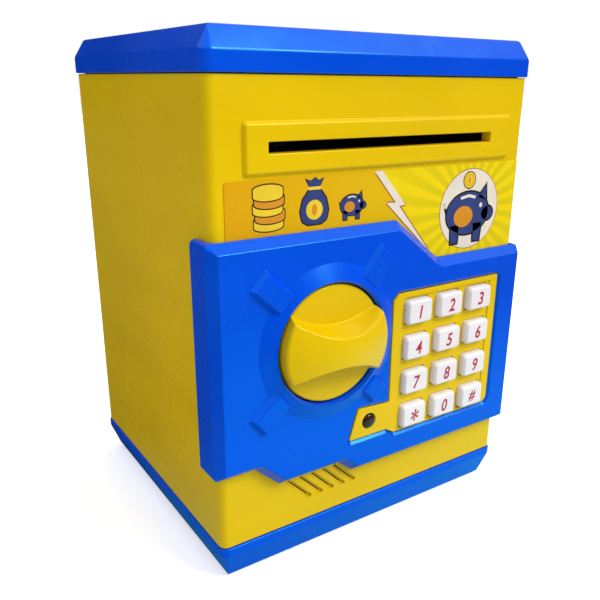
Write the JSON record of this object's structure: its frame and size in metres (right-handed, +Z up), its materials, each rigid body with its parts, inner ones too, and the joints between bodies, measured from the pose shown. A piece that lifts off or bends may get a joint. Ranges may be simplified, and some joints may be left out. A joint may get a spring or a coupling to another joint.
{
  "type": "toy savings bank",
  "caption": "Toy cash-machine savings bank: boxy two-colour case with a hinged keypad door and latch knob, a note slot with a motor feed, a coin slot in the lid and a battery bay beneath.",
  "frame": {"origin": "centre of the whole footprint at the underside of the feet", "axes": "+Z up, -Y towards the front with the door and keypad, +X to the right seen from the front"},
  "size_m": [0.1464, 0.142, 0.19],
  "materials": {
    "yellow_plastic": "glossy injection moulding",
    "blue_plastic": "glossy injection moulding",
    "key_plastic": "satin white keys with red figures",
    "banner_print": "printed film sticker",
    "black_plastic": "matt internal moulding",
    "speaker_metal": "black pressed frame",
    "gear_plastic": "natural acetal",
    "circuit_board": "green solder mask",
    "steel": "plated",
    "motor_can": null,
    "cell_wrap": null,
    "rubber": "matt",
    "lamp_lens": "dark tinted lens"
  },
  "bodies": {
    "bank": {"body_shell": "yellow_plastic", "top_lid": "blue_plastic", "base_tray": "blue_plastic", "slot_bezel": "yellow_plastic", "banner_label": "banner_print", "feed_frame": "black_plastic", "feed_motor": "motor_can", "note_sensor": "circuit_board", "main_board": "circuit_board", "speaker": "speaker_metal", "battery_cell_1": "cell_wrap", "battery_cell_2": "cell_wrap", "battery_cell_3": "cell_wrap", "battery_contact_left": "steel", "battery_contact_right": "steel", "rubber_foot_1": "rubber", "rubber_foot_2": "rubber", "rubber_foot_3": "rubber", "rubber_foot_4": "rubber", "base_screw_1": "steel", "base_screw_2": "steel", "base_screw_3": "steel", "base_screw_4": "steel", "hinge_pin_lower": "steel", "hinge_pin_upper": "steel"},
    "door": {"door_shell": "blue_plastic", "door_back_cover": "blue_plastic", "keypad_bezel": "yellow_plastic", "keypad_board": "circuit_board", "status_led": "lamp_lens", "lock_solenoid": "steel", "solenoid_plunger": "steel"},
    "knob": {"knob": "yellow_plastic", "knob_crank": "gear_plastic"},
    "latch_bolt": {"latch_bolt": "gear_plastic"},
    "key_1": {"key_1": "key_plastic"},
    "key_2": {"key_2": "key_plastic"},
    "key_3": {"key_3": "key_plastic"},
    "key_4": {"key_4": "key_plastic"},
    "key_5": {"key_5": "key_plastic"},
    "key_6": {"key_6": "key_plastic"},
    "key_7": {"key_7": "key_plastic"},
    "key_8": {"key_8": "key_plastic"},
    "key_9": {"key_9": "key_plastic"},
    "key_star": {"key_star": "key_plastic"},
    "key_0": {"key_0": "key_plastic"},
    "key_hash": {"key_hash": "key_plastic"},
    "drive_train": {"drive_shaft": "steel", "roller_gear": "gear_plastic", "drive_roller_left": "rubber", "drive_roller_right": "rubber"},
    "pinch_train": {"pinch_shaft": "steel", "pinch_roller_left": "rubber", "pinch_roller_right": "rubber"},
    "transfer_gear": {"transfer_gear": "gear_plastic"},
    "motor_pinion": {"motor_pinion": "gear_plastic"},
    "battery_cover": {"battery_cover": "blue_plastic", "battery_cover_screw": "steel"}
  },
  "joints": [
    {"name": "door_swing", "type": "hinge", "parent": "bank", "child": "door", "pos_m": [0.07075, -0.04685, 0.071], "axis": [0, 0, 1], "range_deg": [0, 100]},
    {"name": "knob_turn", "type": "hinge", "parent": "door", "child": "knob", "pos_m": [-0.02815, -0.05895, 0.088], "axis": [0, 1, 0], "range_deg": [0, 60]},
    {"name": "bolt_slide", "type": "slide", "parent": "door", "child": "latch_bolt", "axis": [-1, 0, 0], "range_m": [0, 0.006]},
    {"name": "feed_spin", "type": "hinge", "parent": "bank", "child": "drive_train", "pos_m": [-0.00115, -0.03695, 0.147], "axis": [1, 0, 0], "continuous": true},
    {"name": "pinch_spin", "type": "hinge", "parent": "bank", "child": "pinch_train", "pos_m": [-0.00115, -0.03695, 0.1603], "axis": [1, 0, 0], "continuous": true},
    {"name": "transfer_spin", "type": "hinge", "parent": "bank", "child": "transfer_gear", "pos_m": [-0.06075, -0.02935, 0.13384], "axis": [1, 0, 0], "continuous": true},
    {"name": "pinion_spin", "type": "hinge", "parent": "bank", "child": "motor_pinion", "pos_m": [-0.06075, -0.01241, 0.13085], "axis": [1, 0, 0], "continuous": true},
    {"name": "battery_cover_slide", "type": "slide", "parent": "bank", "child": "battery_cover", "axis": [0, 0, -1], "range_m": [0, 0.03]},
    {"name": "key_1_press", "type": "slide", "parent": "door", "child": "key_1", "axis": [0, 1, 0], "range_m": [0, 0.001], "stiffness_N_per_m": 60, "springref_m": -0.004},
    {"name": "key_2_press", "type": "slide", "parent": "door", "child": "key_2", "axis": [0, 1, 0], "range_m": [0, 0.001], "stiffness_N_per_m": 60, "springref_m": -0.004},
    {"name": "key_3_press", "type": "slide", "parent": "door", "child": "key_3", "axis": [0, 1, 0], "range_m": [0, 0.001], "stiffness_N_per_m": 60, "springref_m": -0.004},
    {"name": "key_4_press", "type": "slide", "parent": "door", "child": "key_4", "axis": [0, 1, 0], "range_m": [0, 0.001], "stiffness_N_per_m": 60, "springref_m": -0.004},
    {"name": "key_5_press", "type": "slide", "parent": "door", "child": "key_5", "axis": [0, 1, 0], "range_m": [0, 0.001], "stiffness_N_per_m": 60, "springref_m": -0.004},
    {"name": "key_6_press", "type": "slide", "parent": "door", "child": "key_6", "axis": [0, 1, 0], "range_m": [0, 0.001], "stiffness_N_per_m": 60, "springref_m": -0.004},
    {"name": "key_7_press", "type": "slide", "parent": "door", "child": "key_7", "axis": [0, 1, 0], "range_m": [0, 0.001], "stiffness_N_per_m": 60, "springref_m": -0.004},
    {"name": "key_8_press", "type": "slide", "parent": "door", "child": "key_8", "axis": [0, 1, 0], "range_m": [0, 0.001], "stiffness_N_per_m": 60, "springref_m": -0.004},
    {"name": "key_9_press", "type": "slide", "parent": "door", "child": "key_9", "axis": [0, 1, 0], "range_m": [0, 0.001], "stiffness_N_per_m": 60, "springref_m": -0.004},
    {"name": "key_star_press", "type": "slide", "parent": "door", "child": "key_star", "axis": [0, 1, 0], "range_m": [0, 0.001], "stiffness_N_per_m": 60, "springref_m": -0.004},
    {"name": "key_0_press", "type": "slide", "parent": "door", "child": "key_0", "axis": [0, 1, 0], "range_m": [0, 0.001], "stiffness_N_per_m": 60, "springref_m": -0.004},
    {"name": "key_hash_press", "type": "slide", "parent": "door", "child": "key_hash", "axis": [0, 1, 0], "range_m": [0, 0.001], "stiffness_N_per_m": 60, "springref_m": -0.004}
  ],
  "couplings": [
    {"joint": "bolt_slide", "follows": "knob_turn", "m_per_rad": 0.005729},
    {"joint": "pinch_spin", "follows": "feed_spin", "ratio": -1.6},
    {"joint": "transfer_spin", "follows": "feed_spin", "ratio": -2},
    {"joint": "pinion_spin", "follows": "feed_spin", "ratio": 4.8}
  ]
}
